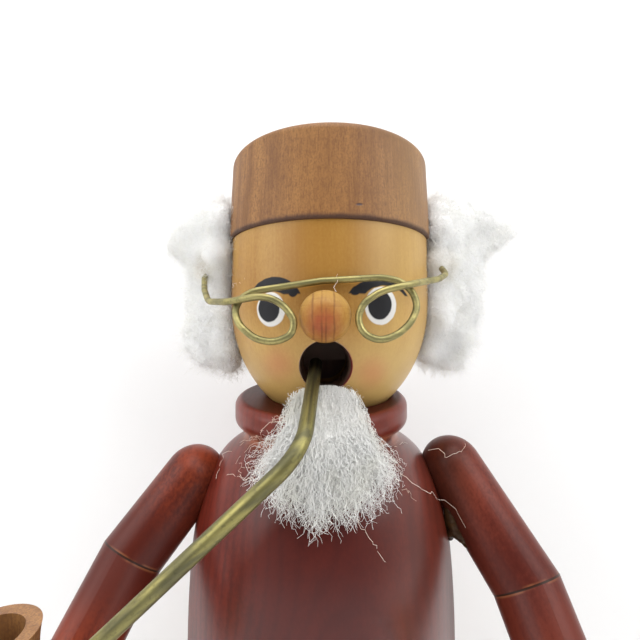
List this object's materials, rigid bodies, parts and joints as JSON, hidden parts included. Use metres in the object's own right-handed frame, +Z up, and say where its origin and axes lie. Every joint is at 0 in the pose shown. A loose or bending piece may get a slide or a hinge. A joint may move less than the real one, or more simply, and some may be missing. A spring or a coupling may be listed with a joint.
{
  "type": "incense smoker figure",
  "caption": "Turned wooden incense smoker: old man with wire spectacles, wool beard and long pipe; the hollow upper half lifts off a lower half that holds the incense cone.",
  "frame": {"origin": "centre of the base plate's underside", "axes": "+Z up through the figure, -Y the way the figure faces, +X towards the figure's left hand"},
  "size_m": [0.0741, 0.0659, 0.1702],
  "materials": {
    "honey_wood": "glossy clear varnish",
    "brown_wood": "satin stain",
    "dark_wood": "satin stain",
    "red_wood": "glossy red stain",
    "brass": "tarnished",
    "white_wool": "fluffy crimped wool"
  },
  "bodies": {
    "lower_body": {"base_plate": "honey_wood", "leg_right": "brown_wood", "leg_left": "brown_wood", "shoe_right": "dark_wood", "shoe_left": "dark_wood", "hip_block": "brown_wood", "cone_plate": "brass", "plate_tacks": "brass"},
    "upper_body": {"torso": "red_wood", "head": "honey_wood", "nose": "honey_wood", "cap": "brown_wood", "glasses": "brass", "beard": "white_wool", "hair_right": "white_wool", "hair_left": "white_wool", "hair_back": "white_wool", "upper_arm_right": "red_wood", "upper_arm_left": "red_wood", "forearm_right": "red_wood", "forearm_left": "red_wood", "hand_right": "honey_wood", "hand_left": "honey_wood"},
    "pipe": {"pipe_stem": "brass", "pipe_bowl": "brown_wood"}
  },
  "joints": [
    {"name": "lift", "type": "slide", "parent": "lower_body", "child": "upper_body", "axis": [0, 0, 1], "range_m": [0, 0.06]},
    {"name": "pipe_swing", "type": "hinge", "parent": "upper_body", "child": "pipe", "pos_m": [-0.0339, -0.0275, 0.0964], "axis": [0, 0, 1], "range_deg": [-75, 0]}
  ]
}
